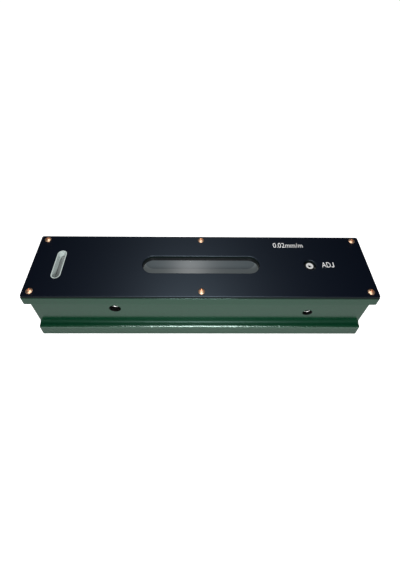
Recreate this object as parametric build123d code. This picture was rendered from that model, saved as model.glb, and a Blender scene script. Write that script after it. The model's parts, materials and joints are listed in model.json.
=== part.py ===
from build123d import *
import math
import os

os.makedirs("parts", exist_ok=True)

# Precision machinist level. Millimetres, +X along the level, front at -Y, +Z up.
# The origin is the middle of the base, on the surface that the level stands on.

# Cover plate
PLATE_LENGTH = 200.0
PLATE_WIDTH = 44.0
PLATE_THICKNESS = 2.0
PLATE_CORNER = 1.0
PLATE_EDGE_BREAK = 0.3
BREAK_ANGLE = 45.0

# Cast body
TOTAL_HEIGHT = 37.0
END_RECESS = 3.5
RIM_DEPTH = 6.2
RIM_PROJECTION = 0.5
WALL_DRAFT = 1.8
FLANGE_PROJECTION = 3.0
FLANGE_HEIGHT = 8.6
FLANGE_EDGE_RADIUS = 1.5
COVE_RADIUS = 1.5
END_EDGE_RADIUS = 0.8
BODY_EDGE_BREAK = 0.3

# Measuring base
V_WIDTH = 16.0
V_ANGLE = 140.0
V_RELIEF_WIDTH = 2.0
V_RELIEF_DEPTH = 1.2

# Main pocket, with a pair of bosses at the pivot and a pair at the adjusting screw
POCKET_LEFT_GAP = 8.5
POCKET_RIGHT_GAP = 19.0
POCKET_WIDTH = 30.0
POCKET_FLOOR_SHARE = 0.55
POCKET_CORNER = 4.0
POCKET_FLOOR_RADIUS = 2.0
BOSS_THICKNESS = 5.0
BOSS_WIDTH = 12.0
BOSS_DROP = 6.5

# Long window over the main vial
WINDOW_LENGTH = 69.4
WINDOW_WIDTH = 12.4
FRAME_LIP = 2.2
FRAME_MARGIN = 4.5
PANE_THICKNESS = 1.2
PANE_MARGIN = 2.2
PANE_CLEARANCE = 0.1

# Vial tube and main vial
TUBE_PANE_GAP = 0.6
TUBE_LENGTH = 90.0
TUBE_LEFT = -44.0
TUBE_RADIUS = 9.0
TUBE_WALL = 2.0
TUBE_OPENING_LENGTH = 73.0
TUBE_OPENING_WIDTH = 13.2
VIAL_LENGTH = 81.0
VIAL_RADIUS = 6.4
VIAL_WALL = 1.2
STOPPER_LENGTH = 3.5
BEDDING_LENGTH = 3.5
BUBBLE_LENGTH = 26.0
BUBBLE_DEPTH = 2.2

# Tilt pivot
PIVOT_X = -49.5
PIVOT_RISE = 2.0
PIVOT_SCREW_RADIUS = 3.0
PIVOT_SCREW_RECESS = 3.4
PIVOT_TIP_GAP = 4.4
PIVOT_HEX = 3.0
LUG_RADIUS = 6.0
LUG_WIDTH = 9.0
SHOULDER_LENGTH = 2.0
SPIGOT_LENGTH = 3.0

# Adjusting tongue and side screws
SIDE_SCREW_X = 62.5
SIDE_SCREW_DROP = 2.3
SIDE_SCREW_RADIUS = 2.5
SIDE_SCREW_RECESS = 2.0
SIDE_POINT_RADIUS = 1.6
SIDE_POINT_LENGTH = 1.5
SIDE_HEX = 2.5
TONGUE_WIDTH = 10.0
TONGUE_HEIGHT = 6.5
TONGUE_END_GAP = 5.0

# Adjusting screw, its bridge and its clip
ADJUST_X = 65.0
ADJUST_RADIUS = 2.0
ADJUST_HEAD_RADIUS = 3.0
ADJUST_HEAD_DROP = 1.0
ADJUST_HOLE_RADIUS = 3.6
ADJUST_TIP_REACH = 4.45
ADJUST_HEX = 2.0
BRIDGE_LENGTH = 11.0
BRIDGE_THICKNESS = 3.0
CLIP_THICKNESS = 0.6
CLIP_RADIUS = 3.4
CLIP_OPENING = 2.6
GROOVE_DEPTH = 0.4
THREAD_CLEARANCE = 0.08

# Adjusting spring
SPRING_RADIUS = 3.2
SPRING_WIRE_RADIUS = 0.35
SPRING_WIRE_SIDES = 8
SPRING_TURNS = 5.0
SPRING_SEAT_DEPTH = 1.0
SPRING_SEAT_CLEARANCE = 0.3

# Cross window, holder and cross vial
CROSS_X = -84.0
CROSS_WINDOW_LENGTH = 20.4
CROSS_WINDOW_WIDTH = 5.6
COLLAR_WALL = 0.5
COLLAR_DROP = 0.1
COLLAR_CLEARANCE = 0.05
HOLDER_LENGTH = 32.0
HOLDER_WIDTH = 16.6
HOLDER_HEIGHT = 12.5
HOLDER_CORNER = 2.5
HOLDER_CLEARANCE = 0.2
CROSS_VIAL_DEPTH = 4.5
CROSS_VIAL_RADIUS = 4.0
CROSS_VIAL_WALL = 0.9
CROSS_VIAL_LENGTH = 25.0
CROSS_STOPPER_LENGTH = 2.0
CROSS_BORE_CLEARANCE = 0.1
CROSS_BUBBLE_LENGTH = 8.0
CROSS_BUBBLE_DEPTH = 1.8

# Screws
COVER_SCREW_INSET_X = 4.5
COVER_SCREW_INSET_Y = 3.3
COVER_SCREW_RADIUS = 1.0
COVER_SCREW_LENGTH = 5.0
COVER_HEAD_RADIUS = 1.9
COVER_HEAD_HEIGHT = 1.2
COVER_HEAD_RIM = 0.35
CROSS_RECESS_WIDTH = 0.45
CROSS_RECESS_SPAN = 2.0
CROSS_RECESS_DEPTH = 0.6
BRIDGE_SCREW_RADIUS = 1.25
BRIDGE_SCREW_LENGTH = 9.0
BRIDGE_HEAD_RADIUS = 2.2
BRIDGE_HEAD_HEIGHT = 1.3
HOLDER_SCREW_OFFSET_X = 6.2
HOLDER_SCREW_OFFSET_Y = 10.0
HOLDER_SCREW_RADIUS = 0.8
HOLDER_SCREW_LENGTH = 14.0
HOLDER_HEAD_RADIUS = 1.5
HOLDER_HEAD_HEIGHT = 1.2
SCREW_SLOT_WIDTH = 0.5
SCREW_SLOT_DEPTH = 0.6
HEX_DEPTH = 2.2
TIP_CHAMFER = 0.4
HOLE_CHAMFER = 0.3

# Fits
SCREW_FIT = 0.02
SPIGOT_FIT = 0.02
RUNNING_FIT = 0.05
HOLE_MARGIN = 0.5

# Worked out from the sizes above
BODY_HEIGHT = TOTAL_HEIGHT - PLATE_THICKNESS
HALF_PLATE = PLATE_WIDTH / 2
HALF_BASE = HALF_PLATE + FLANGE_PROJECTION
RIM_BOTTOM = BODY_HEIGHT - RIM_DEPTH
RIM_LENGTH = PLATE_LENGTH + 2 * RIM_PROJECTION
WALL_LENGTH = PLATE_LENGTH - 2 * END_RECESS
POCKET_LEFT = PIVOT_X - POCKET_LEFT_GAP
POCKET_RIGHT = ADJUST_X + POCKET_RIGHT_GAP
BOSS_FACE = POCKET_WIDTH / 2 - BOSS_THICKNESS
BOSS_TOP = TOTAL_HEIGHT - BOSS_DROP
FRAME_DEPTH = FRAME_LIP + PANE_THICKNESS
TUBE_AXIS_HEIGHT = BODY_HEIGHT - FRAME_DEPTH - TUBE_PANE_GAP - TUBE_RADIUS
TUBE_BOTTOM = TUBE_AXIS_HEIGHT - TUBE_RADIUS
V_DEPTH = V_WIDTH / 2 / math.tan(math.radians(V_ANGLE / 2))
GROOVE_ROOT = V_DEPTH + V_RELIEF_DEPTH
POCKET_FLOOR = GROOVE_ROOT + POCKET_FLOOR_SHARE * (TUBE_BOTTOM - GROOVE_ROOT)
PIVOT_HEIGHT = TUBE_AXIS_HEIGHT + PIVOT_RISE
SIDE_SCREW_HEIGHT = TUBE_AXIS_HEIGHT - SIDE_SCREW_DROP
TUBE_RIGHT = TUBE_LEFT + TUBE_LENGTH
TUBE_BORE = TUBE_RADIUS - TUBE_WALL
VIAL_BORE = VIAL_RADIUS - VIAL_WALL
TONGUE_MIDDLE = SIDE_SCREW_HEIGHT
TONGUE_BOTTOM = TONGUE_MIDDLE - TONGUE_HEIGHT / 2
TONGUE_RIGHT = ADJUST_X + TONGUE_END_GAP
ADJUST_TIP_HEIGHT = TONGUE_BOTTOM - ADJUST_TIP_REACH
BRIDGE_TOP = BOSS_TOP + BRIDGE_THICKNESS
BRIDGE_SCREW_Y = BOSS_FACE + BOSS_THICKNESS / 2
CLIP_TOP = BOSS_TOP - 2 * RUNNING_FIT
SPRING_SEAT = POCKET_FLOOR - SPRING_SEAT_DEPTH
HOLDER_FLOOR = BODY_HEIGHT - HOLDER_HEIGHT
CROSS_AXIS_HEIGHT = TOTAL_HEIGHT - CROSS_VIAL_DEPTH - CROSS_VIAL_RADIUS
CROSS_BORE_RADIUS = CROSS_VIAL_RADIUS + CROSS_BORE_CLEARANCE
CROSS_BORE_END = -CROSS_VIAL_LENGTH / 2 - CROSS_BORE_CLEARANCE


def upright_slot(length, width, low, high, x=0.0, turn=0.0):
    """A stadium prism about a vertical axis, its length along X unless turned."""
    outline = Pos(x, 0, low) * Rot(0, 0, turn) * SlotOverall(length, width)
    return extrude(outline, high - low)


def upright_rod(radius, low, high, x=0.0, y=0.0):
    return Pos(x, y, (low + high) / 2) * Cylinder(radius, high - low)


def rod_along_x(radius, left, right, height):
    middle = (left + right) / 2
    return Pos(middle, 0, height) * Rot(0, 90, 0) * Cylinder(radius, right - left)


def rod_along_y(radius, front, rear, x, height):
    middle = (front + rear) / 2
    return Pos(x, middle, height) * Rot(90, 0, 0) * Cylinder(radius, rear - front)


def block(left, right, front, rear, low, high):
    size = Box(right - left, rear - front, high - low)
    return Pos((left + right) / 2, (front + rear) / 2, (low + high) / 2) * size


def turned(points):
    """A solid of revolution about Z from a half profile given as (radius, height)."""
    return revolve(make_face(Plane.XZ * Polyline(points, close=True)), Axis.Z)


def hex_socket(across_flats, depth):
    """A hexagonal cutter that hangs down from Z = 0."""
    corner_radius = across_flats / math.sqrt(3)
    return extrude(RegularPolygon(corner_radius, 6), -depth)


def chord(radius, depth):
    """The width of a liquid's level in a round bore, depth below the top of the bore."""
    return 2 * math.sqrt(radius**2 - (radius - depth) ** 2)


def cover_screw_places():
    """The six cover screws: both ends and the middle of each long edge."""
    reach = PLATE_LENGTH / 2 - COVER_SCREW_INSET_X
    side = HALF_PLATE - COVER_SCREW_INSET_Y
    return [(x, y) for x in (-reach, 0, reach) for y in (-side, side)]


def wall_half_width(height):
    """Where the front wall stands at a height: it leans in below the rim."""
    return HALF_PLATE - (RIM_BOTTOM - height) * math.tan(math.radians(WALL_DRAFT))


def body_section():
    """Half of the cast section: flange with a rounded edge, cove, leaning wall and rim."""
    outline = Polyline(
        (0, 0),
        (-HALF_BASE, 0),
        (-HALF_BASE, FLANGE_HEIGHT),
        (-wall_half_width(FLANGE_HEIGHT), FLANGE_HEIGHT),
        (-HALF_PLATE, RIM_BOTTOM),
        (-HALF_PLATE, BODY_HEIGHT),
        (0, BODY_HEIGHT),
        close=True,
    )
    section = make_face(outline)
    flange_corners = section.vertices().filter_by_position(Axis.Y, FLANGE_HEIGHT, FLANGE_HEIGHT)
    edge, root = flange_corners.sort_by(Axis.X)
    section = fillet(edge, FLANGE_EDGE_RADIUS)
    root = section.vertices().sort_by_distance(root)[0]
    return fillet(root, COVE_RADIUS)


def measuring_groove():
    """The V along the base, with a relief slot at its root."""
    half = V_WIDTH / 2
    relief = V_RELIEF_WIDTH / 2
    profile = Plane.YZ * Polyline((-half, 0), (0, V_DEPTH), (half, 0), close=True)
    groove = extrude(make_face(profile), WALL_LENGTH / 2, both=True)
    reach = WALL_LENGTH / 2
    return groove + block(-reach, reach, -relief, relief, 0, GROOVE_ROOT)


def main_pocket():
    """The milled pocket, less the bosses that stay on its long walls."""
    half = POCKET_WIDTH / 2
    pocket = block(POCKET_LEFT, POCKET_RIGHT, -half, half, POCKET_FLOOR, BODY_HEIGHT)
    pocket = fillet(pocket.edges().filter_by(Axis.Z), POCKET_CORNER)
    pocket = fillet(pocket.edges().group_by(Axis.Z)[0], POCKET_FLOOR_RADIUS)
    pivot_right = PIVOT_X + BOSS_WIDTH / 2
    for front, rear in ((-half, -BOSS_FACE), (BOSS_FACE, half)):
        pocket -= block(POCKET_LEFT, pivot_right, front, rear, POCKET_FLOOR, BOSS_TOP)
        left = ADJUST_X - BOSS_WIDTH / 2
        pocket -= block(left, left + BOSS_WIDTH, front, rear, POCKET_FLOOR, BOSS_TOP)
    return pocket


def cross_pocket():
    pocket_length = HOLDER_LENGTH + 2 * HOLDER_CLEARANCE
    pocket_width = HOLDER_WIDTH + 2 * HOLDER_CLEARANCE
    outline = RectangleRounded(pocket_width, pocket_length, HOLDER_CORNER + HOLDER_CLEARANCE)
    return extrude(Pos(CROSS_X, 0, HOLDER_FLOOR) * outline, HOLDER_HEIGHT)


def side_bores(x, height, radius):
    """A threaded hole through both long walls, with a chamfered mouth at each end."""
    reach = wall_half_width(height)
    hole_radius = radius + SCREW_FIT
    mouth_radius = hole_radius + HOLE_CHAMFER
    bores = rod_along_y(hole_radius, -reach, reach, x, height)
    mouth = Cone(hole_radius, mouth_radius, HOLE_CHAMFER)
    front = Pos(x, -reach + HOLE_CHAMFER / 2, height) * Rot(90, 0, 0) * mouth
    rear = Pos(x, reach - HOLE_CHAMFER / 2, height) * Rot(-90, 0, 0) * mouth
    front += rod_along_y(mouth_radius, -HALF_BASE, -reach, x, height)
    rear += rod_along_y(mouth_radius, reach, HALF_BASE, x, height)
    return bores + front + rear


def body_casting():
    half_section = Plane.YZ * body_section()
    half = extrude(half_section, WALL_LENGTH / 2, both=True)
    body = half + mirror(half, Plane.XZ)
    ends = body.faces().sort_by(Axis.X)[0].outer_wire().edges()
    ends += body.faces().sort_by(Axis.X)[-1].outer_wire().edges()
    rounded = [edge for edge in ends if 0 < edge.center().Z < BODY_HEIGHT]
    body = fillet(rounded, END_EDGE_RADIUS)
    rim_outline = RectangleRounded(RIM_LENGTH, PLATE_WIDTH, PLATE_CORNER)
    rim = extrude(Pos(0, 0, RIM_BOTTOM) * rim_outline, RIM_DEPTH)
    rim = chamfer(rim.edges().group_by(Axis.Z)[-1], BODY_EDGE_BREAK)
    top = block(-PLATE_LENGTH, PLATE_LENGTH, -HALF_BASE, HALF_BASE, RIM_BOTTOM, BODY_HEIGHT)
    body = body - top + rim
    body -= measuring_groove()
    body -= main_pocket()
    body -= cross_pocket()
    body -= side_bores(PIVOT_X, PIVOT_HEIGHT, PIVOT_SCREW_RADIUS)
    body -= side_bores(SIDE_SCREW_X, SIDE_SCREW_HEIGHT, SIDE_SCREW_RADIUS)
    seat_radius = SPRING_RADIUS + SPRING_WIRE_RADIUS + SPRING_SEAT_CLEARANCE
    body -= upright_rod(seat_radius, SPRING_SEAT, POCKET_FLOOR, ADJUST_X)
    depth = COVER_SCREW_LENGTH - PLATE_THICKNESS + HOLE_MARGIN
    for x, y in cover_screw_places():
        body -= upright_rod(COVER_SCREW_RADIUS + SCREW_FIT, BODY_HEIGHT - depth, BODY_HEIGHT, x, y)
    depth = BRIDGE_SCREW_LENGTH - BRIDGE_THICKNESS + HOLE_MARGIN
    for y in (-BRIDGE_SCREW_Y, BRIDGE_SCREW_Y):
        body -= upright_rod(BRIDGE_SCREW_RADIUS + SCREW_FIT, BOSS_TOP - depth, BOSS_TOP, ADJUST_X, y)
    tip = holder_screw_seat() - HOLDER_SCREW_LENGTH - HOLE_MARGIN
    for x, y in holder_screw_places():
        body -= upright_rod(HOLDER_SCREW_RADIUS + SCREW_FIT, tip, HOLDER_FLOOR, x, y)
    return body


def flared_slot(length, width, x=0.0, turn=0.0):
    """A window through the plate with a broken top edge."""
    window = upright_slot(length, width, BODY_HEIGHT, TOTAL_HEIGHT, x, turn)
    wide = 2 * PLATE_EDGE_BREAK
    top = Pos(x, 0, TOTAL_HEIGHT) * Rot(0, 0, turn) * SlotOverall(length + wide, width + wide)
    return window + extrude(top, -PLATE_EDGE_BREAK, taper=BREAK_ANGLE)


def cover_plate():
    outline = RectangleRounded(PLATE_LENGTH, PLATE_WIDTH, PLATE_CORNER)
    plate = extrude(Pos(0, 0, BODY_HEIGHT) * outline, PLATE_THICKNESS)
    plate = chamfer(plate.edges().group_by(Axis.Z)[-1], PLATE_EDGE_BREAK)
    plate -= flared_slot(WINDOW_LENGTH, WINDOW_WIDTH)
    plate -= upright_slot(CROSS_WINDOW_LENGTH, CROSS_WINDOW_WIDTH, BODY_HEIGHT, TOTAL_HEIGHT, CROSS_X, 90)
    plate -= upright_rod(ADJUST_HOLE_RADIUS, BODY_HEIGHT, TOTAL_HEIGHT, ADJUST_X)
    flare = Cone(ADJUST_HOLE_RADIUS, ADJUST_HOLE_RADIUS + PLATE_EDGE_BREAK, PLATE_EDGE_BREAK)
    plate -= Pos(ADJUST_X, 0, TOTAL_HEIGHT - PLATE_EDGE_BREAK / 2) * flare
    for x, y in cover_screw_places():
        plate -= upright_rod(COVER_SCREW_RADIUS + RUNNING_FIT, BODY_HEIGHT, TOTAL_HEIGHT, x, y)
    return plate


def cover_screw():
    """A small domed screw with a cross recess; its head sits on Z = 0."""
    rim = (COVER_HEAD_RADIUS, COVER_HEAD_RIM)
    crown = (0, COVER_HEAD_HEIGHT)
    curve = dome_radius(COVER_HEAD_RADIUS, COVER_HEAD_HEIGHT - COVER_HEAD_RIM)
    outline = [
        Line((0, 0), (COVER_HEAD_RADIUS, 0)),
        Line((COVER_HEAD_RADIUS, 0), rim),
        RadiusArc(rim, crown, -curve),
        Line(crown, (0, 0)),
    ]
    dome = Plane.XZ * make_face(outline)
    screw = revolve(dome, Axis.Z) + shank(COVER_SCREW_RADIUS, COVER_SCREW_LENGTH)
    floor = COVER_HEAD_HEIGHT - CROSS_RECESS_DEPTH
    for turn in (0, 90):
        arm = Box(CROSS_RECESS_SPAN, CROSS_RECESS_WIDTH, 2 * CROSS_RECESS_DEPTH)
        screw -= Pos(0, 0, floor + CROSS_RECESS_DEPTH) * Rot(0, 0, turn) * arm
    return screw


def dome_radius(rim_radius, rise):
    """The radius of a cap that rises by rise over a rim of rim_radius."""
    return (rim_radius**2 + rise**2) / (2 * rise)


def shank(radius, length):
    """A screw's shank, from Z = 0 down, with a chamfered tip."""
    small = radius - TIP_CHAMFER
    points = [(0, 0), (radius, 0), (radius, TIP_CHAMFER - length), (small, -length), (0, -length)]
    return turned(points)


def cover_screws():
    one = cover_screw()
    return Compound([Pos(x, y, TOTAL_HEIGHT) * one for x, y in cover_screw_places()])


def cheese_screw(radius, length, head_radius, head_height):
    """A slotted cheese-head screw; its head sits on Z = 0."""
    screw = upright_rod(head_radius, 0, head_height) + shank(radius, length)
    half = SCREW_SLOT_WIDTH / 2
    slot_floor = head_height - SCREW_SLOT_DEPTH
    return screw - block(-head_radius, head_radius, -half, half, slot_floor, head_height)


def window_frame():
    """The black bezel under the plate that deepens the window and holds the pane."""
    wide = 2 * FRAME_MARGIN
    bottom = BODY_HEIGHT - FRAME_DEPTH
    frame = upright_slot(WINDOW_LENGTH + wide, WINDOW_WIDTH + wide, bottom, BODY_HEIGHT)
    frame -= upright_slot(WINDOW_LENGTH, WINDOW_WIDTH, bottom, BODY_HEIGHT)
    wide = 2 * (PANE_MARGIN + PANE_CLEARANCE)
    return frame - upright_slot(WINDOW_LENGTH + wide, WINDOW_WIDTH + wide, bottom, bottom + PANE_THICKNESS)


def window_pane():
    wide = 2 * PANE_MARGIN
    bottom = BODY_HEIGHT - FRAME_DEPTH
    return upright_slot(WINDOW_LENGTH + wide, WINDOW_WIDTH + wide, bottom, bottom + PANE_THICKNESS)


def vial_tube():
    tube = rod_along_x(TUBE_RADIUS, TUBE_LEFT, TUBE_RIGHT, TUBE_AXIS_HEIGHT)
    tube -= rod_along_x(TUBE_BORE, TUBE_LEFT, TUBE_RIGHT, TUBE_AXIS_HEIGHT)
    top = TUBE_AXIS_HEIGHT + TUBE_RADIUS
    return tube - upright_slot(TUBE_OPENING_LENGTH, TUBE_OPENING_WIDTH, TUBE_AXIS_HEIGHT, top)


def pivot_lug():
    """The tube's left end piece: spigot, shoulder and a lug with two conical seats."""
    shoulder_left = TUBE_LEFT - SHOULDER_LENGTH
    lug = rod_along_x(TUBE_RADIUS, shoulder_left, TUBE_LEFT, TUBE_AXIS_HEIGHT)
    spigot_right = TUBE_LEFT + SPIGOT_LENGTH
    lug += rod_along_x(TUBE_BORE - SPIGOT_FIT, TUBE_LEFT, spigot_right, TUBE_AXIS_HEIGHT)
    half = LUG_WIDTH / 2
    lug += rod_along_y(LUG_RADIUS, -half, half, PIVOT_X, PIVOT_HEIGHT)
    low = PIVOT_HEIGHT - LUG_RADIUS
    lug += block(PIVOT_X, shoulder_left, -half, half, low, low + 2 * LUG_RADIUS)
    for turn in (90, -90):
        lug -= Pos(PIVOT_X, 0, PIVOT_HEIGHT) * Rot(turn, 0, 0) * conical_seat()
    return lug


def conical_seat():
    """The space around one cone point, apex inward, with a running clearance."""
    apex = PIVOT_TIP_GAP / 2 - RUNNING_FIT * math.sqrt(2)
    mouth = LUG_WIDTH / 2 + HOLE_MARGIN
    return turned([(0, apex), (mouth - apex, mouth), (0, mouth)])


def pivot_screw(side):
    """A cone-point set screw; side is -1 at the front and 1 at the rear."""
    tip = PIVOT_TIP_GAP / 2
    face = wall_half_width(PIVOT_HEIGHT) - PIVOT_SCREW_RECESS
    shoulder = tip + PIVOT_SCREW_RADIUS
    rim = PIVOT_SCREW_RADIUS - TIP_CHAMFER
    points = [
        (0, tip),
        (PIVOT_SCREW_RADIUS, shoulder),
        (PIVOT_SCREW_RADIUS, face - TIP_CHAMFER),
        (rim, face),
        (0, face),
    ]
    screw = turned(points) - Pos(0, 0, face) * hex_socket(PIVOT_HEX, HEX_DEPTH)
    return Pos(PIVOT_X, 0, PIVOT_HEIGHT) * Rot(-90 * side, 0, 0) * screw


def adjust_tongue():
    """The tube's right end piece: spigot, shoulder and the tongue that the screw moves."""
    shoulder_right = TUBE_RIGHT + SHOULDER_LENGTH
    tongue = rod_along_x(TUBE_RADIUS, TUBE_RIGHT, shoulder_right, TUBE_AXIS_HEIGHT)
    spigot_left = TUBE_RIGHT - SPIGOT_LENGTH
    tongue += rod_along_x(TUBE_BORE - SPIGOT_FIT, spigot_left, TUBE_RIGHT, TUBE_AXIS_HEIGHT)
    half = TONGUE_WIDTH / 2
    bar = block(shoulder_right, TONGUE_RIGHT, -half, half, TONGUE_BOTTOM, TONGUE_BOTTOM + TONGUE_HEIGHT)
    far_edges = bar.edges().filter_by(Axis.Z).group_by(Axis.X)[-1]
    tongue += fillet(far_edges, half / 2)
    high = TONGUE_BOTTOM + TONGUE_HEIGHT
    return tongue - upright_rod(ADJUST_RADIUS + THREAD_CLEARANCE, TONGUE_BOTTOM, high, ADJUST_X)


def side_screw(side):
    """A dog-point set screw that guides the tongue; side is -1 at the front, 1 at the rear."""
    tip = TONGUE_WIDTH / 2 + RUNNING_FIT
    face = wall_half_width(SIDE_SCREW_HEIGHT) - SIDE_SCREW_RECESS
    shoulder = tip + SIDE_POINT_LENGTH
    rim = SIDE_SCREW_RADIUS - TIP_CHAMFER
    points = [
        (0, tip),
        (SIDE_POINT_RADIUS, tip),
        (SIDE_POINT_RADIUS, shoulder),
        (SIDE_SCREW_RADIUS, shoulder),
        (SIDE_SCREW_RADIUS, face - TIP_CHAMFER),
        (rim, face),
        (0, face),
    ]
    screw = turned(points) - Pos(0, 0, face) * hex_socket(SIDE_HEX, HEX_DEPTH)
    return Pos(SIDE_SCREW_X, 0, SIDE_SCREW_HEIGHT) * Rot(-90 * side, 0, 0) * screw


def adjust_bridge():
    half = BRIDGE_LENGTH / 2
    reach = POCKET_WIDTH / 2 - HOLDER_CLEARANCE
    bridge = block(ADJUST_X - half, ADJUST_X + half, -reach, reach, BOSS_TOP, BRIDGE_TOP)
    bridge -= upright_rod(ADJUST_RADIUS + RUNNING_FIT, BOSS_TOP, BRIDGE_TOP, ADJUST_X)
    for y in (-BRIDGE_SCREW_Y, BRIDGE_SCREW_Y):
        bridge -= upright_rod(BRIDGE_SCREW_RADIUS + RUNNING_FIT, BOSS_TOP, BRIDGE_TOP, ADJUST_X, y)
    return bridge


def bridge_screws():
    one = cheese_screw(BRIDGE_SCREW_RADIUS, BRIDGE_SCREW_LENGTH, BRIDGE_HEAD_RADIUS, BRIDGE_HEAD_HEIGHT)
    return Compound([Pos(ADJUST_X, y, BRIDGE_TOP) * one for y in (-BRIDGE_SCREW_Y, BRIDGE_SCREW_Y)])


def adjust_screw():
    """Socket-head screw held in the bridge, its thread turning in the tongue."""
    head_low = BRIDGE_TOP + RUNNING_FIT
    head_top = TOTAL_HEIGHT - ADJUST_HEAD_DROP
    groove_top = CLIP_TOP + RUNNING_FIT
    groove_low = CLIP_TOP - CLIP_THICKNESS - RUNNING_FIT
    groove_radius = ADJUST_RADIUS - GROOVE_DEPTH
    points = [
        (0, ADJUST_TIP_HEIGHT),
        (ADJUST_RADIUS - TIP_CHAMFER, ADJUST_TIP_HEIGHT),
        (ADJUST_RADIUS, ADJUST_TIP_HEIGHT + TIP_CHAMFER),
        (ADJUST_RADIUS, groove_low),
        (groove_radius, groove_low),
        (groove_radius, groove_top),
        (ADJUST_RADIUS, groove_top),
        (ADJUST_RADIUS, head_low),
        (ADJUST_HEAD_RADIUS, head_low),
        (ADJUST_HEAD_RADIUS, head_top - TIP_CHAMFER),
        (ADJUST_HEAD_RADIUS - TIP_CHAMFER, head_top),
        (0, head_top),
    ]
    screw = turned(points) - Pos(0, 0, head_top) * hex_socket(ADJUST_HEX, HEX_DEPTH)
    return Pos(ADJUST_X, 0, 0) * screw


def screw_clip():
    """The retaining clip under the bridge, open on one side to slip into its groove."""
    low = CLIP_TOP - CLIP_THICKNESS
    clip = upright_rod(CLIP_RADIUS, low, CLIP_TOP)
    clip -= upright_rod(ADJUST_RADIUS - GROOVE_DEPTH, low, CLIP_TOP)
    half = CLIP_OPENING / 2
    clip -= block(0, CLIP_RADIUS, -half, half, low, CLIP_TOP)
    return Pos(ADJUST_X, 0, 0) * clip


def adjust_spring():
    """The coil spring between its seat in the pocket floor and the tongue.

    The wire has eight flat sides, because a round one takes eight times the facets.
    """
    start = SPRING_SEAT + SPRING_WIRE_RADIUS
    height = TONGUE_BOTTOM - SPRING_WIRE_RADIUS - start
    path = Helix(height / SPRING_TURNS, height, SPRING_RADIUS)
    wire = Plane(path @ 0, z_dir=path % 0) * RegularPolygon(SPRING_WIRE_RADIUS, SPRING_WIRE_SIDES)
    return Pos(ADJUST_X, 0, start) * sweep(wire, path=path)


def main_vial():
    half = VIAL_LENGTH / 2
    vial = rod_along_x(VIAL_RADIUS, -half, half, TUBE_AXIS_HEIGHT)
    return vial - rod_along_x(VIAL_BORE, -half, half, TUBE_AXIS_HEIGHT)


def main_vial_liquid():
    """The spirit fill, with the bubble left out at the top of the bore."""
    half = VIAL_LENGTH / 2 - STOPPER_LENGTH
    liquid = rod_along_x(VIAL_BORE, -half, half, TUBE_AXIS_HEIGHT)
    top = TUBE_AXIS_HEIGHT + VIAL_BORE
    width = chord(VIAL_BORE, BUBBLE_DEPTH)
    return liquid - upright_slot(BUBBLE_LENGTH, width, top - BUBBLE_DEPTH, top)


def vial_stopper(side):
    outer = VIAL_LENGTH / 2
    left, right = sorted((side * outer, side * (outer - STOPPER_LENGTH)))
    return rod_along_x(VIAL_BORE, left, right, TUBE_AXIS_HEIGHT)


def vial_bedding(side):
    """A ring of setting compound between the glass and the tube."""
    outer = VIAL_LENGTH / 2
    left, right = sorted((side * outer, side * (outer - BEDDING_LENGTH)))
    ring = rod_along_x(TUBE_BORE, left, right, TUBE_AXIS_HEIGHT)
    return ring - rod_along_x(VIAL_RADIUS, left, right, TUBE_AXIS_HEIGHT)


def holder_screw_places():
    x, y = HOLDER_SCREW_OFFSET_X, HOLDER_SCREW_OFFSET_Y
    return [(CROSS_X - x, -y), (CROSS_X + x, y)]


def holder_screw_seat():
    return BODY_HEIGHT - HOLDER_HEAD_HEIGHT - RUNNING_FIT


def cross_vial_holder():
    """The pale block under the plate, with a collar that lines the cross window."""
    outline = RectangleRounded(HOLDER_WIDTH, HOLDER_LENGTH, HOLDER_CORNER)
    holder = extrude(Pos(CROSS_X, 0, HOLDER_FLOOR) * outline, HOLDER_HEIGHT)
    collar_length = CROSS_WINDOW_LENGTH - 2 * COLLAR_CLEARANCE
    collar_width = CROSS_WINDOW_WIDTH - 2 * COLLAR_CLEARANCE
    collar_top = TOTAL_HEIGHT - COLLAR_DROP
    holder += upright_slot(collar_length, collar_width, BODY_HEIGHT, collar_top, CROSS_X, 90)
    well_length = collar_length - 2 * COLLAR_WALL
    well_width = collar_width - 2 * COLLAR_WALL
    holder -= upright_slot(well_length, well_width, CROSS_AXIS_HEIGHT, collar_top, CROSS_X, 90)
    rear = HOLDER_LENGTH / 2
    holder -= rod_along_y(CROSS_BORE_RADIUS, CROSS_BORE_END, rear, CROSS_X, CROSS_AXIS_HEIGHT)
    seat = holder_screw_seat()
    for x, y in holder_screw_places():
        holder -= upright_rod(HOLDER_SCREW_RADIUS + RUNNING_FIT, HOLDER_FLOOR, seat, x, y)
        holder -= upright_rod(HOLDER_HEAD_RADIUS + RUNNING_FIT, seat, BODY_HEIGHT, x, y)
    return holder


def holder_screws():
    one = cheese_screw(HOLDER_SCREW_RADIUS, HOLDER_SCREW_LENGTH, HOLDER_HEAD_RADIUS, HOLDER_HEAD_HEIGHT)
    return Compound([Pos(x, y, holder_screw_seat()) * one for x, y in holder_screw_places()])


def cross_vial():
    half = CROSS_VIAL_LENGTH / 2
    vial = rod_along_y(CROSS_VIAL_RADIUS, -half, half, CROSS_X, CROSS_AXIS_HEIGHT)
    bore = CROSS_VIAL_RADIUS - CROSS_VIAL_WALL
    return vial - rod_along_y(bore, -half, half, CROSS_X, CROSS_AXIS_HEIGHT)


def cross_vial_liquid():
    half = CROSS_VIAL_LENGTH / 2 - CROSS_STOPPER_LENGTH
    bore = CROSS_VIAL_RADIUS - CROSS_VIAL_WALL
    liquid = rod_along_y(bore, -half, half, CROSS_X, CROSS_AXIS_HEIGHT)
    top = CROSS_AXIS_HEIGHT + bore
    width = chord(bore, CROSS_BUBBLE_DEPTH)
    level = top - CROSS_BUBBLE_DEPTH
    return liquid - upright_slot(CROSS_BUBBLE_LENGTH, width, level, top, CROSS_X, 90)


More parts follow.
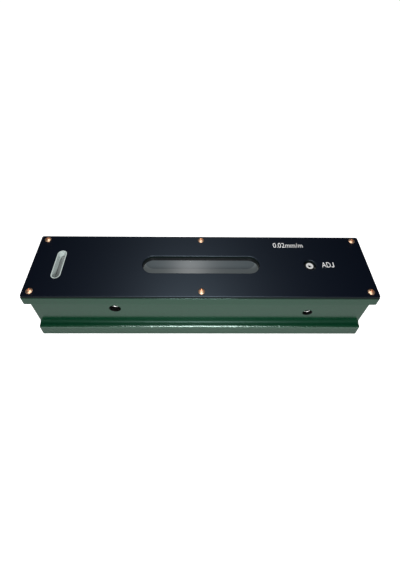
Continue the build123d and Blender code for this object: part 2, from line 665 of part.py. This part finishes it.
def cross_stopper(side):
    outer = CROSS_VIAL_LENGTH / 2
    front, rear = sorted((side * outer, side * (outer - CROSS_STOPPER_LENGTH)))
    bore = CROSS_VIAL_RADIUS - CROSS_VIAL_WALL
    return rod_along_y(bore, front, rear, CROSS_X, CROSS_AXIS_HEIGHT)


def cross_bore_plug():
    """The plug that closes the holder's bore behind the cross vial."""
    front = CROSS_VIAL_LENGTH / 2
    return rod_along_y(CROSS_VIAL_RADIUS, front, HOLDER_LENGTH / 2, CROSS_X, CROSS_AXIS_HEIGHT)


PIECES = {
    "body_casting": body_casting(),
    "cover_plate": cover_plate(),
    "cover_screws": cover_screws(),
    "window_frame": window_frame(),
    "window_pane": window_pane(),
    "pivot_screw_front": pivot_screw(-1),
    "pivot_screw_rear": pivot_screw(1),
    "side_screw_front": side_screw(-1),
    "side_screw_rear": side_screw(1),
    "adjust_bridge": adjust_bridge(),
    "bridge_screws": bridge_screws(),
    "adjust_screw": adjust_screw(),
    "screw_clip": screw_clip(),
    "adjust_spring": adjust_spring(),
    "vial_tube": vial_tube(),
    "pivot_lug": pivot_lug(),
    "adjust_tongue": adjust_tongue(),
    "main_vial": main_vial(),
    "main_vial_liquid": main_vial_liquid(),
    "vial_stopper_left": vial_stopper(-1),
    "vial_stopper_right": vial_stopper(1),
    "vial_bedding_left": vial_bedding(-1),
    "vial_bedding_right": vial_bedding(1),
    "cross_vial_holder": cross_vial_holder(),
    "holder_screws": holder_screws(),
    "cross_vial": cross_vial(),
    "cross_vial_liquid": cross_vial_liquid(),
    "cross_stopper_front": cross_stopper(-1),
    "cross_stopper_rear": cross_stopper(1),
    "cross_bore_plug": cross_bore_plug(),
}

for name, piece in PIECES.items():
    export_step(piece, f"parts/{name}.step")
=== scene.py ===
import json
import math

import bpy
from mathutils import Matrix, Vector


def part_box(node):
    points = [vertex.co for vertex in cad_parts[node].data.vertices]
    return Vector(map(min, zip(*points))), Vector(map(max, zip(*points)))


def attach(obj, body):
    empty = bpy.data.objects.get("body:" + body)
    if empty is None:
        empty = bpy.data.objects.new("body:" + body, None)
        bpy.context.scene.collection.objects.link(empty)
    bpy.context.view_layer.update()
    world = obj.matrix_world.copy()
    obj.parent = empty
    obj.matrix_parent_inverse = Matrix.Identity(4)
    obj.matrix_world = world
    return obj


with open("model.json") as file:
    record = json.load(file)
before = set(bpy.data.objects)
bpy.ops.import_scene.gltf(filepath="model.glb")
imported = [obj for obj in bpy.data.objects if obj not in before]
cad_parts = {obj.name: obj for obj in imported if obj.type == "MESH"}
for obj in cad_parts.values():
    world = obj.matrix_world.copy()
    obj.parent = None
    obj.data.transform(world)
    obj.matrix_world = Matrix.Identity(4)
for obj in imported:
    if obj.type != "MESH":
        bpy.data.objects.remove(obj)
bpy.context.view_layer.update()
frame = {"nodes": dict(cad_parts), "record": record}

MM = 0.001

# Camera, fitted to the plate, window and body edges of the photograph
IMAGE_HEIGHT = 570
FOCAL_PIXELS = 368.53
CENTRE_ROW = 211.4
CAMERA_PLACE = Vector((-4.65, -132.84, 213.78)) * MM
CAMERA_YAW = math.radians(-1.381)
CAMERA_DOWN = math.radians(44.869)
CAMERA_ROLL = math.radians(1.341)
SENSOR = 36.0
NEAR_CLIP = 0.01
FAR_CLIP = 20.0

# Lamps: a small one hangs over the plate, and one in front lights the edge of the flange
LAMP_TARGET = (0, 0, 0.03)
KEY_PLACE = (-0.007, -0.004, 0.275)
KEY_WIDTH = 0.06
KEY_DEPTH = 0.024
KEY_RADIANCE = 80.0
FRONT_PLACE = (0.004, -0.25, 0.18)
FRONT_WIDTH = 0.09
FRONT_DEPTH = 0.05
FRONT_RADIANCE = 62.0

# Room: what mirrors see of it, what lights the object softly, and the white floor
ROOM_LEVEL = 0.01
SOFT_LEVEL = 0.12
FLOOR_SIZE = 8.0
FLOOR_GLOW = 0.94
SHEET_GLOW = 0.02
SHEET_START = 0.25
SHEET_END = 0.5

# Faces of the model that the scene's own pieces and finishes follow
PLATE_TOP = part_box("cover_plate")[1].z
ADJUST_LOW, ADJUST_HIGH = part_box("adjust_screw")
ADJUST_AXIS = (ADJUST_LOW + ADJUST_HIGH) / 2
ADJUST_TOP = ADJUST_HIGH.z
# Painted shade on the adjusting screw: on its collar beyond this radius, and in its socket below
# this depth
ADJUST_PAINTED_SHADE_RADIUS = 2.15 * MM
ADJUST_BLUR = 0.1 * MM
SOCKET_SHADE_DEPTH = 1.2 * MM
PIVOT_SCREWS = ("pivot_screw_front", "pivot_screw_rear")
SIDE_SCREWS = ("side_screw_front", "side_screw_rear")
PIVOT_BORE_RADIUS = 3.4 * MM
SIDE_BORE_RADIUS = 2.9 * MM

# Round edges of the set screws' outer faces; they stand out by a share of their wire's radius
PIVOT_RIM_RADIUS = 2.35 * MM
PIVOT_RIM_WIRE = 0.5 * MM
SIDE_RIM_RADIUS = 1.85 * MM
SIDE_RIM_WIRE = 0.28 * MM
RIM_STAND_OUT = 0.9
RIM_SEGMENTS = 48
RIM_WIRE_SEGMENTS = 10

# Painted reflection on the long pane: it is painted paler outside a slot outline, the window's edge
# as mirrored in the pane
PAINTED_REFLECTION_X = -0.5 * MM
PAINTED_REFLECTION_Y = 6.0 * MM
PAINTED_REFLECTION_HALF = 27.5 * MM
PAINTED_REFLECTION_RADIUS = 6.2 * MM
PAINTED_REFLECTION_BLUR = 0.3 * MM

# Relief and gloss of the paint change with the distance from the middle and with the height
SMOOTH_WITHIN = 23.9 * MM
ROUGH_BEYOND = 24.4 * MM
DULL_BELOW = 11.0 * MM
GLOSSY_ABOVE = 12.0 * MM
EDGE_START = 6.9 * MM
EDGE_END = 7.3 * MM
PAINT_ROUGHNESS = 0.20
COVE_EXTRA_ROUGHNESS = 0.18
EDGE_GLOSS_SHARE = 0.10
PAINT_GRAIN = 1.2 * MM
PAINT_GRAIN_DETAIL = 3.0
PAINT_RELIEF = 0.2 * MM
WALL_RELIEF_SHARE = 0.12
PAINT_EDGE_RADIUS = 0.8 * MM
PLATE_EDGE_RADIUS = 0.4 * MM

# A face counts as looking up or down past these values of its normal's Z
LOOKING_UP = 0.5
LOOKING_DOWN = -0.7

# Direction across the level in which its brushed surfaces spread highlights
ACROSS = (0.0, 1.0, -0.35)

# Letters, and the rectangles that they fill on the plate: left, right, bottom and top
LETTER_THINNING = 0.012
LETTER_STROKE = 0.40 * MM
LETTER_RELIEF = 0.01 * MM
HOOK_STEPS = 12
HOOK_TURN = 165
AD_PLACE = (72.1 * MM, 77.3 * MM, -1.7 * MM, 1.95 * MM)
J_PLACE = (77.6 * MM, 79.3 * MM, -1.7 * MM, 1.95 * MM)
SENSITIVITY_PLACE = (45.0 * MM, 63.4 * MM, 13.2 * MM, 16.9 * MM)

# Colours are linear
WHITE = (1.0, 1.0, 1.0)
GREEN = (0.001, 0.031, 0.012)
GREEN_SHEEN = (0.66, 0.95, 0.91)
EDGE_GLOSS = (0.75, 0.92, 0.85)
BORE_BLACK = (0.002, 0.002, 0.002)
PLATE_BLACK = (0.0004, 0.0012, 0.0055)
PLATE_SHEEN = (0.67, 0.85, 1.00)
PLATE_SIDE = (0.006, 0.010, 0.010)
FRAME_BLACK = (0.004, 0.005, 0.006)
GROUND_STEEL = (0.50, 0.51, 0.52)
BRASS = (0.86, 0.56, 0.37)
BRIGHT_STEEL = (0.62, 0.62, 0.63)
ADJUSTER_STEEL = (0.95, 0.95, 0.93)
# Painted shade on the adjusting screw's collar and in its socket
ADJUSTER_PAINTED_SHADE = (0.02, 0.022, 0.022)
DARK_STEEL = (0.03, 0.03, 0.032)
TUBE_GREY = (0.20, 0.22, 0.21)
PALE_PLASTIC = (0.50, 0.57, 0.55)
WHITE_COMPOUND = (0.75, 0.75, 0.72)
PANE_HAZE = (0.070, 0.086, 0.094)
# Painted reflection: the paler colour of the long pane's near side and ends
PANE_PAINTED_REFLECTION = (0.135, 0.155, 0.160)
VIAL_HAZE = (0.24, 0.26, 0.26)
# Painted shade and painted highlight on the cross vial: darker on its left side, lighter on its
# right side
VIAL_PAINTED_SHADE = (0.10, 0.11, 0.11)
VIAL_PAINTED_HIGHLIGHT = (0.45, 0.48, 0.47)
SPIRIT_TINT = (0.96, 1.00, 0.97)
GLASS_TINT = (0.98, 1.00, 0.985)
LETTER_WHITE = (0.95, 0.95, 0.95)
FLOOR_WHITE = (0.80, 0.80, 0.80)

# Sockets of Blender's Mix node when it mixes colours
MIX_COLOUR_A = 6
MIX_COLOUR_B = 7
MIX_COLOUR_RESULT = 2


# Small steps that the materials are built from

def opaque(colour):
    return (*colour, 1.0)


def feed(tree, socket, value):
    """Links an output to an input socket, or sets a plain value on it."""
    if isinstance(value, bpy.types.NodeSocket):
        tree.links.new(value, socket)
    else:
        socket.default_value = value


def calculate(tree, operation, *values):
    """A Math node over sockets or numbers, as its output socket."""
    node = tree.nodes.new("ShaderNodeMath")
    node.operation = operation
    for socket, value in zip(node.inputs, values):
        feed(tree, socket, value)
    return node.outputs["Value"]


def map_range(tree, value, start, end, low, high, smooth=False):
    """Goes from low to high while value goes from start to end, as an output socket."""
    node = tree.nodes.new("ShaderNodeMapRange")
    node.interpolation_type = "SMOOTHSTEP" if smooth else "LINEAR"
    node.inputs["From Min"].default_value = start
    node.inputs["From Max"].default_value = end
    node.inputs["To Min"].default_value = low
    node.inputs["To Max"].default_value = high
    tree.links.new(value, node.inputs["Value"])
    return node.outputs["Result"]


def object_place(tree):
    return tree.nodes.new("ShaderNodeTexCoord").outputs["Object"]


def axes_of(tree, vector):
    """The X, Y and Z of a vector, as output sockets."""
    split = tree.nodes.new("ShaderNodeSeparateXYZ")
    tree.links.new(vector, split.inputs["Vector"])
    return split.outputs["X"], split.outputs["Y"], split.outputs["Z"]


def length_of(tree, vector):
    node = tree.nodes.new("ShaderNodeVectorMath")
    node.operation = "LENGTH"
    tree.links.new(vector, node.inputs[0])
    return node.outputs["Value"]


def blend(tree, share, low, high):
    """A colour between two colours or sockets, as an output socket."""
    node = tree.nodes.new("ShaderNodeMix")
    node.data_type = "RGBA"
    feed(tree, node.inputs["Factor"], share)
    feed(tree, node.inputs[MIX_COLOUR_A], low)
    feed(tree, node.inputs[MIX_COLOUR_B], high)
    return node.outputs[MIX_COLOUR_RESULT]


def mix_shaders(tree, share, first, second):
    node = tree.nodes.new("ShaderNodeMixShader")
    feed(tree, node.inputs["Fac"], share)
    tree.links.new(first, node.inputs[1])
    tree.links.new(second, node.inputs[2])
    return node.outputs["Shader"]


def looking(tree, operation, limit):
    """1 where the true normal's Z is over or under a limit, as an output socket."""
    geometry = tree.nodes.new("ShaderNodeNewGeometry")
    _, _, upward = axes_of(tree, geometry.outputs["True Normal"])
    return calculate(tree, operation, upward, limit)


def far_from(tree, place_x, place_y, middle_x, middle_y, half_length, radius):
    """Distance in metres outside a slot outline, as an output socket."""
    offset_x = calculate(tree, "ABSOLUTE", calculate(tree, "SUBTRACT", place_x, middle_x))
    beyond_x = calculate(tree, "MAXIMUM", calculate(tree, "SUBTRACT", offset_x, half_length), 0.0)
    offset_y = calculate(tree, "SUBTRACT", place_y, middle_y)
    flat = tree.nodes.new("ShaderNodeCombineXYZ")
    tree.links.new(beyond_x, flat.inputs["X"])
    tree.links.new(offset_y, flat.inputs["Y"])
    return calculate(tree, "SUBTRACT", length_of(tree, flat.outputs["Vector"]), radius)


def new_material(name):
    material = bpy.data.materials.new(name)
    material.use_nodes = True
    material.node_tree.nodes.clear()
    return material


def surface_output(material, shader):
    tree = material.node_tree
    output = tree.nodes.new("ShaderNodeOutputMaterial")
    tree.links.new(shader, output.inputs["Surface"])


def principled(material, colour, roughness, metallic=0.0, specular=0.5):
    node = material.node_tree.nodes.new("ShaderNodeBsdfPrincipled")
    node.inputs["Base Color"].default_value = opaque(colour)
    node.inputs["Roughness"].default_value = roughness
    node.inputs["Metallic"].default_value = metallic
    node.inputs["Specular IOR Level"].default_value = specular
    return node


def rounded_normal(tree, radius):
    """A normal with which sharp edges take light as if they were rounded."""
    edge = tree.nodes.new("ShaderNodeBevel")
    edge.inputs["Radius"].default_value = radius
    return edge.outputs["Normal"]


def wavy_normal(tree, place, strength):
    """The normal of paint: rounded edges, and a fine relief of the given strength."""
    noise = tree.nodes.new("ShaderNodeTexNoise")
    noise.inputs["Scale"].default_value = 1.0 / PAINT_GRAIN
    noise.inputs["Detail"].default_value = PAINT_GRAIN_DETAIL
    bump = tree.nodes.new("ShaderNodeBump")
    bump.inputs["Distance"].default_value = PAINT_RELIEF
    tree.links.new(place, noise.inputs["Vector"])
    tree.links.new(noise.outputs["Fac"], bump.inputs["Height"])
    tree.links.new(strength, bump.inputs["Strength"])
    tree.links.new(rounded_normal(tree, PAINT_EDGE_RADIUS), bump.inputs["Normal"])
    return bump.outputs["Normal"]


def spread_across(material, shader, amount):
    """Brushing along the level: it spreads highlights across the level."""
    tree = material.node_tree
    across = tree.nodes.new("ShaderNodeCombineXYZ")
    for socket, value in zip(across.inputs, ACROSS):
        socket.default_value = value
    shader.inputs["Anisotropic"].default_value = amount
    tree.links.new(across.outputs["Vector"], shader.inputs["Tangent"])


def haze_over(material, haze, share):
    """Mixes a hazy surface with a clear view of what is under it."""
    tree = material.node_tree
    through = tree.nodes.new("ShaderNodeBsdfTransparent")
    mixed = mix_shaders(tree, share, through.outputs["BSDF"], haze.outputs["BSDF"])
    surface_output(material, mixed)


def middle_of(name):
    low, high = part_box(name)
    return (low + high) / 2


# Materials

def plain(name, colour, roughness, metallic=0.0):
    material = new_material(name)
    shader = principled(material, colour, roughness, metallic)
    surface_output(material, shader.outputs["BSDF"])
    return material


def clear(name, tint, index, roughness=0.0):
    """A clear solid that lets light through to what is under it."""
    material = new_material(name)
    tree = material.node_tree
    glass = tree.nodes.new("ShaderNodeBsdfGlass")
    glass.inputs["Color"].default_value = opaque(tint)
    glass.inputs["IOR"].default_value = index
    glass.inputs["Roughness"].default_value = roughness
    through = tree.nodes.new("ShaderNodeBsdfTransparent")
    through.inputs["Color"].default_value = opaque(tint)
    in_shadow = tree.nodes.new("ShaderNodeLightPath").outputs["Is Shadow Ray"]
    mixed = mix_shaders(tree, in_shadow, glass.outputs["BSDF"], through.outputs["BSDF"])
    surface_output(material, mixed)
    return material


def in_bores(tree, place):
    """1 inside the four bores of the side walls and 0 elsewhere, as an output socket."""
    along, _, height = axes_of(tree, place)
    distances = []
    for screw, radius in ((PIVOT_SCREWS[0], PIVOT_BORE_RADIUS), (SIDE_SCREWS[0], SIDE_BORE_RADIUS)):
        middle = middle_of(screw)
        distances.append(far_from(tree, along, height, middle.x, middle.z, 0.0, radius))
    return calculate(tree, "LESS_THAN", calculate(tree, "MINIMUM", *distances), 0.0)


def paint_roughness(tree, aside, height):
    """Paint is duller in the cove at the foot of the walls than anywhere else."""
    low_down = map_range(tree, height, DULL_BELOW, GLOSSY_ABOVE, COVE_EXTRA_ROUGHNESS, 0.0)
    near_wall = map_range(tree, aside, SMOOTH_WITHIN, ROUGH_BEYOND, 1.0, 0.0)
    return calculate(tree, "MULTIPLY_ADD", low_down, near_wall, PAINT_ROUGHNESS)


def edge_gloss_share(tree, aside, height):
    """How much of an extra gloss the outer edge of the flange has."""
    far_out = map_range(tree, aside, SMOOTH_WITHIN, ROUGH_BEYOND, 0.0, 1.0)
    high_up = map_range(tree, height, EDGE_START, EDGE_END, 0.0, EDGE_GLOSS_SHARE)
    return calculate(tree, "MULTIPLY", far_out, high_up)


def green_paint():
    """Glossy green enamel over the casting, dark bores, and bare ground steel that looks down."""
    material = new_material("green_enamel")
    tree = material.node_tree
    place = object_place(tree)
    _, across, height = axes_of(tree, place)
    aside = calculate(tree, "ABSOLUTE", across)
    relief = map_range(tree, aside, SMOOTH_WITHIN, ROUGH_BEYOND, WALL_RELIEF_SHARE, 1.0)
    normal = wavy_normal(tree, place, relief)
    paint = principled(material, GREEN, PAINT_ROUGHNESS, specular=0.37)
    paint.inputs["Specular Tint"].default_value = opaque(GREEN_SHEEN)
    tree.links.new(paint_roughness(tree, aside, height), paint.inputs["Roughness"])
    gloss = principled(material, EDGE_GLOSS, roughness=0.25, metallic=1.0)
    for shader in (paint, gloss):
        tree.links.new(normal, shader.inputs["Normal"])
    bore = principled(material, BORE_BLACK, roughness=0.6, specular=0.1)
    ground = principled(material, GROUND_STEEL, roughness=0.32, metallic=1.0)
    bored = in_bores(tree, place)
    layers = mix_shaders(tree, bored, paint.outputs["BSDF"], bore.outputs["BSDF"])
    at_edge = edge_gloss_share(tree, aside, height)
    layers = mix_shaders(tree, at_edge, layers, gloss.outputs["BSDF"])
    downward = looking(tree, "LESS_THAN", LOOKING_DOWN)
    layers = mix_shaders(tree, downward, layers, ground.outputs["BSDF"])
    surface_output(material, layers)
    return material


def black_plate():
    """Satin black anodising on the top, and a dull edge."""
    material = new_material("black_satin")
    tree = material.node_tree
    top = principled(material, PLATE_BLACK, roughness=0.48, specular=0.44)
    top.inputs["Specular Tint"].default_value = opaque(PLATE_SHEEN)
    spread_across(material, top, amount=0.5)
    tree.links.new(rounded_normal(tree, PLATE_EDGE_RADIUS), top.inputs["Normal"])
    side = principled(material, PLATE_SIDE, roughness=0.6, specular=0.05)
    upward = looking(tree, "GREATER_THAN", LOOKING_UP)
    mixed = mix_shaders(tree, upward, side.outputs["BSDF"], top.outputs["BSDF"])
    surface_output(material, mixed)
    return material


def hazy_pane():
    """A hazy clear pane with a painted reflection: its near side and ends are painted paler."""
    material = new_material("hazy_sheet")
    tree = material.node_tree
    haze = principled(material, PANE_HAZE, roughness=0.34)
    spread_across(material, haze, amount=1.0)
    along, across, _ = axes_of(tree, object_place(tree))
    # Painted reflection: the pane is paler outside the window's outline as mirrored in it
    outside = far_from(
        tree, along, across, PAINTED_REFLECTION_X, PAINTED_REFLECTION_Y, PAINTED_REFLECTION_HALF, PAINTED_REFLECTION_RADIUS)
    share = map_range(tree, outside, -PAINTED_REFLECTION_BLUR, PAINTED_REFLECTION_BLUR, 0.0, 1.0, smooth=True)
    colour = blend(tree, share, opaque(PANE_HAZE), opaque(PANE_PAINTED_REFLECTION))
    tree.links.new(colour, haze.inputs["Base Color"])
    haze_over(material, haze, share=0.8)
    return material


def hazy_vial():
    """Ground glass with an even haze."""
    material = new_material("vial_glass_finish")
    haze = principled(material, VIAL_HAZE, roughness=0.45, specular=0.6)
    spread_across(material, haze, amount=1.0)
    haze_over(material, haze, share=0.65)
    return material


def cross_vial_painted_shading():
    """Ground glass with painted shade on its left side and a painted highlight on its right side.
    """
    material = new_material("cross_vial_haze_painted_shading")
    tree = material.node_tree
    haze = principled(material, VIAL_HAZE, roughness=0.45, specular=0.6)
    low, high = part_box("cross_vial")
    along, _, _ = axes_of(tree, object_place(tree))
    # Painted shade and highlight: dark on the left, light on the right
    share = map_range(tree, along, low.x, high.x, 0.0, 1.0, smooth=True)
    colour = blend(tree, share, opaque(VIAL_PAINTED_SHADE), opaque(VIAL_PAINTED_HIGHLIGHT))
    tree.links.new(colour, haze.inputs["Base Color"])
    haze_over(material, haze, share=0.75)
    return material


def adjuster_steel_with_painted_shade():
    """A bright steel screw end, with painted shade on the collar round it and in its socket."""
    material = new_material("adjuster_steel_and_painted_shade")
    tree = material.node_tree
    steel = principled(material, ADJUSTER_STEEL, roughness=0.55, metallic=0.6)
    along, across, height = axes_of(tree, object_place(tree))
    outside = far_from(
        tree, along, across, ADJUST_AXIS.x, ADJUST_AXIS.y, 0.0, ADJUST_PAINTED_SHADE_RADIUS)
    # Painted shade: dark on the collar round the bright face and deep in the socket
    in_collar_shade = map_range(tree, outside, -ADJUST_BLUR, ADJUST_BLUR, 0.0, 1.0, smooth=True)
    in_socket_shade = calculate(tree, "LESS_THAN", height, ADJUST_TOP - SOCKET_SHADE_DEPTH)
    colour = blend(tree, in_collar_shade, opaque(ADJUSTER_STEEL), opaque(ADJUSTER_PAINTED_SHADE))
    colour = blend(tree, in_socket_shade, colour, opaque(ADJUSTER_PAINTED_SHADE))
    tree.links.new(colour, steel.inputs["Base Color"])
    surface_output(material, steel.outputs["BSDF"])
    return material


def floor_material():
    """A white sheet that keeps shadows; mirrors see it fade out towards its edge."""
    material = new_material("floor_white")
    tree = material.node_tree
    shader = principled(material, FLOOR_WHITE, roughness=0.9, specular=0.0)
    distance = length_of(tree, object_place(tree))
    fade = map_range(tree, distance, SHEET_START, SHEET_END, SHEET_GLOW, 0.0, smooth=True)
    path = tree.nodes.new("ShaderNodeLightPath").outputs
    mirrored = calculate(tree, "MAXIMUM", path["Is Glossy Ray"], path["Is Transmission Ray"])
    in_mirrors = calculate(tree, "MULTIPLY", mirrored, fade)
    glow = calculate(tree, "MULTIPLY_ADD", path["Is Camera Ray"], FLOOR_GLOW, in_mirrors)
    shader.inputs["Emission Color"].default_value = opaque(WHITE)
    tree.links.new(glow, shader.inputs["Emission Strength"])
    surface_output(material, shader.outputs["BSDF"])
    return material


SLOT_MATERIALS = {
    "green_paint": green_paint(),
    "black_plate": black_plate(),
    "brass_screw": plain("brass", BRASS, roughness=0.50, metallic=1.0),
    "black_frame": plain("black_frame_finish", FRAME_BLACK, roughness=0.35),
    "clear_pane": hazy_pane(),
    "screw_steel": plain("dark_steel", DARK_STEEL, roughness=0.30, metallic=0.9),
    "bright_steel": plain("bright_steel_finish", BRIGHT_STEEL, roughness=0.52, metallic=1.0),
    "spring_steel": plain("spring_steel_finish", BRIGHT_STEEL, roughness=0.28, metallic=1.0),
    "tube_metal": plain("tube_finish", TUBE_GREY, roughness=0.40, metallic=0.6),
    "vial_glass": hazy_vial(),
    "spirit": clear("spirit_fill", SPIRIT_TINT, index=1.36),
    "stopper_glass": clear("stopper_finish", GLASS_TINT, index=1.50, roughness=0.2),
    "white_bedding": plain("white_compound", WHITE_COMPOUND, roughness=0.70),
    "pale_holder": plain("pale_moulding", PALE_PLASTIC, roughness=0.35),
}

NODE_MATERIALS = {
    "adjust_screw": adjuster_steel_with_painted_shade(),
    "adjust_bridge": plain("bridge_finish", TUBE_GREY, roughness=0.60, metallic=0.3),
    "cross_vial": cross_vial_painted_shading(),
}

LETTERS = plain("letter_white", LETTER_WHITE, roughness=0.5)
RIM_STEEL = plain("rim_steel_finish", ADJUSTER_STEEL, roughness=0.35, metallic=1.0)


def dress_cad():
    """Gives each CAD node the material of its slot in the record, or one of its own."""
    for part in frame["record"]["subparts"]:
        node = frame["nodes"][part["node"]]
        node.data.materials.clear()
        finish = SLOT_MATERIALS[part["material_slot"]]
        node.data.materials.append(NODE_MATERIALS.get(part["node"], finish))


# Studio

def add_camera():
    camera = bpy.data.cameras.new("photo_camera")
    camera.sensor_fit = "VERTICAL"
    camera.sensor_height = SENSOR
    camera.lens = FOCAL_PIXELS / IMAGE_HEIGHT * SENSOR
    camera.shift_y = (CENTRE_ROW - IMAGE_HEIGHT / 2) / IMAGE_HEIGHT
    camera.clip_start = NEAR_CLIP
    camera.clip_end = FAR_CLIP
    forward = Vector((0, math.cos(CAMERA_DOWN), -math.sin(CAMERA_DOWN)))
    up = Vector((0, math.sin(CAMERA_DOWN), math.cos(CAMERA_DOWN)))
    right = Vector((1, 0, 0))
    yaw = Matrix.Rotation(CAMERA_YAW, 3, "Z")
    forward, up, right = yaw @ forward, yaw @ up, yaw @ right
    roll = Matrix.Rotation(CAMERA_ROLL, 3, -forward)
    up, right = roll @ up, roll @ right
    axes = Matrix((right, up, -forward)).transposed().to_4x4()
    view = bpy.data.objects.new("photo_camera", camera)
    view.matrix_world = Matrix.Translation(CAMERA_PLACE) @ axes
    bpy.context.scene.collection.objects.link(view)
    bpy.context.scene.camera = view


def softbox(name, place, width, height, radiance):
    """An even rectangular lamp of a given radiance that faces the object."""
    lamp = bpy.data.lights.new(name, "AREA")
    lamp.shape = "RECTANGLE"
    lamp.size = width
    lamp.size_y = height
    lamp.energy = radiance * math.pi * width * height
    body = bpy.data.objects.new(name, lamp)
    body.location = place
    aim = Vector(LAMP_TARGET) - Vector(place)
    body.rotation_euler = aim.to_track_quat("-Z", "Y").to_euler()
    bpy.context.scene.collection.objects.link(body)


def add_world():
    """A room that mirrors see dark, that lights softly, and that the camera sees white."""
    world = bpy.data.worlds.new("studio")
    bpy.context.scene.world = world
    world.use_nodes = True
    tree = world.node_tree
    tree.nodes.clear()
    path = tree.nodes.new("ShaderNodeLightPath").outputs
    soft = calculate(tree, "MULTIPLY_ADD", path["Is Diffuse Ray"], SOFT_LEVEL, ROOM_LEVEL)
    background = tree.nodes.new("ShaderNodeBackground")
    background.inputs["Color"].default_value = opaque(WHITE)
    output = tree.nodes.new("ShaderNodeOutputWorld")
    level = calculate(tree, "MAXIMUM", soft, path["Is Camera Ray"])
    tree.links.new(level, background.inputs["Strength"])
    tree.links.new(background.outputs["Background"], output.inputs["Surface"])


def add_lights():
    softbox("key_box", KEY_PLACE, KEY_WIDTH, KEY_DEPTH, KEY_RADIANCE)
    softbox("front_box", FRONT_PLACE, FRONT_WIDTH, FRONT_DEPTH, FRONT_RADIANCE)


def add_floor():
    bpy.ops.mesh.primitive_plane_add(size=FLOOR_SIZE, location=(0, 0, 0))
    floor = bpy.context.active_object
    floor.name = "studio_floor"
    floor.data.materials.append(floor_material())


# Letters on the plate

def lay_letters(name, mesh):
    """Puts flat letters on the plate's top."""
    mesh.name = name
    letters = bpy.data.objects.new(name, mesh)
    bpy.context.scene.collection.objects.link(letters)
    letters.location = (0, 0, PLATE_TOP + LETTER_RELIEF / 2)
    letters.data.materials.clear()
    letters.data.materials.append(LETTERS)
    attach(letters, "base")


def stretch(mesh, axis, start, end):
    """Scales a mesh along one axis so that it fills the stretch from start to end."""
    places = [corner.co[axis] for corner in mesh.vertices]
    lowest = min(places)
    scale = (end - start) / (max(places) - lowest)
    for corner in mesh.vertices:
        corner.co[axis] = start + (corner.co[axis] - lowest) * scale


def word_mesh(words, left, right, bottom, top):
    """Thin flat letters that fill a rectangle, as a mesh."""
    curve = bpy.data.curves.new("words", "FONT")
    curve.body = words
    curve.size = top - bottom
    curve.offset = -LETTER_THINNING * (top - bottom)
    curve.extrude = LETTER_RELIEF
    text = bpy.data.objects.new("words", curve)
    bpy.context.scene.collection.objects.link(text)
    bpy.context.view_layer.update()
    evaluated = text.evaluated_get(bpy.context.evaluated_depsgraph_get())
    mesh = bpy.data.meshes.new_from_object(evaluated)
    bpy.data.objects.remove(text)
    bpy.data.curves.remove(curve)
    stretch(mesh, 0, left, right)
    stretch(mesh, 1, bottom, top)
    return mesh


def hook_path(left, right, bottom, top):
    """Points along the middle of the letter J, from its head to the end of its hook."""
    inset = LETTER_STROKE / 2
    radius = (right - left) / 2 - inset
    middle_x = (left + right) / 2
    middle_y = bottom + inset + radius
    path = [Vector((right - inset, top))]
    for step in range(HOOK_STEPS + 1):
        angle = math.radians(-HOOK_TURN * step / HOOK_STEPS)
        turned = (middle_x + radius * math.cos(angle), middle_y + radius * math.sin(angle))
        path.append(Vector(turned))
    return path


def stroke_mesh(path):
    """A closed flat bar of the letters' stroke and relief that follows a path."""
    half = LETTER_STROKE / 2
    corners = []
    for place, point in enumerate(path):
        along = path[min(place + 1, len(path) - 1)] - path[max(place - 1, 0)]
        aside = Vector((-along.y, along.x)).normalized() * half
        for edge in (point + aside, point - aside):
            corners.append((edge.x, edge.y, LETTER_RELIEF))
            corners.append((edge.x, edge.y, -LETTER_RELIEF))
    last = 4 * (len(path) - 1)
    faces = [(0, 1, 3, 2)]
    for first in range(0, last, 4):
        for here, there in ((0, 2), (2, 3), (3, 1), (1, 0)):
            faces.append((first + here, first + there, first + there + 4, first + here + 4))
    faces.append((last + 2, last + 3, last + 1, last))
    mesh = bpy.data.meshes.new("stroke")
    mesh.from_pydata(corners, [], faces)
    mesh.update()
    return mesh


# Set screws

def add_screw_rim(screw, radius, wire):
    """The bright round edge of a set screw's outer face, deep in its bore."""
    low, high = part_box(screw)
    middle = middle_of(screw)
    stand_out = RIM_STAND_OUT * wire
    face = low.y - stand_out if middle.y < 0 else high.y + stand_out
    bpy.ops.mesh.primitive_torus_add(
        major_radius=radius, minor_radius=wire,
        major_segments=RIM_SEGMENTS, minor_segments=RIM_WIRE_SEGMENTS,
        location=(middle.x, face, middle.z), rotation=(math.pi / 2, 0, 0))
    rim = bpy.context.active_object
    rim.name = screw + "_rim"
    bpy.ops.object.shade_smooth()
    rim.data.materials.append(RIM_STEEL)
    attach(rim, "base")


dress_cad()
add_camera()
add_world()
add_lights()
add_floor()
lay_letters("ad_lettering", word_mesh("AD", *AD_PLACE))
lay_letters("j_lettering", stroke_mesh(hook_path(*J_PLACE)))
lay_letters("sensitivity_lettering", word_mesh("0.02mm/m", *SENSITIVITY_PLACE))
for screw_name in PIVOT_SCREWS:
    add_screw_rim(screw_name, PIVOT_RIM_RADIUS, PIVOT_RIM_WIRE)
for screw_name in SIDE_SCREWS:
    add_screw_rim(screw_name, SIDE_RIM_RADIUS, SIDE_RIM_WIRE)

bpy.context.scene.view_settings.view_transform = "Standard"
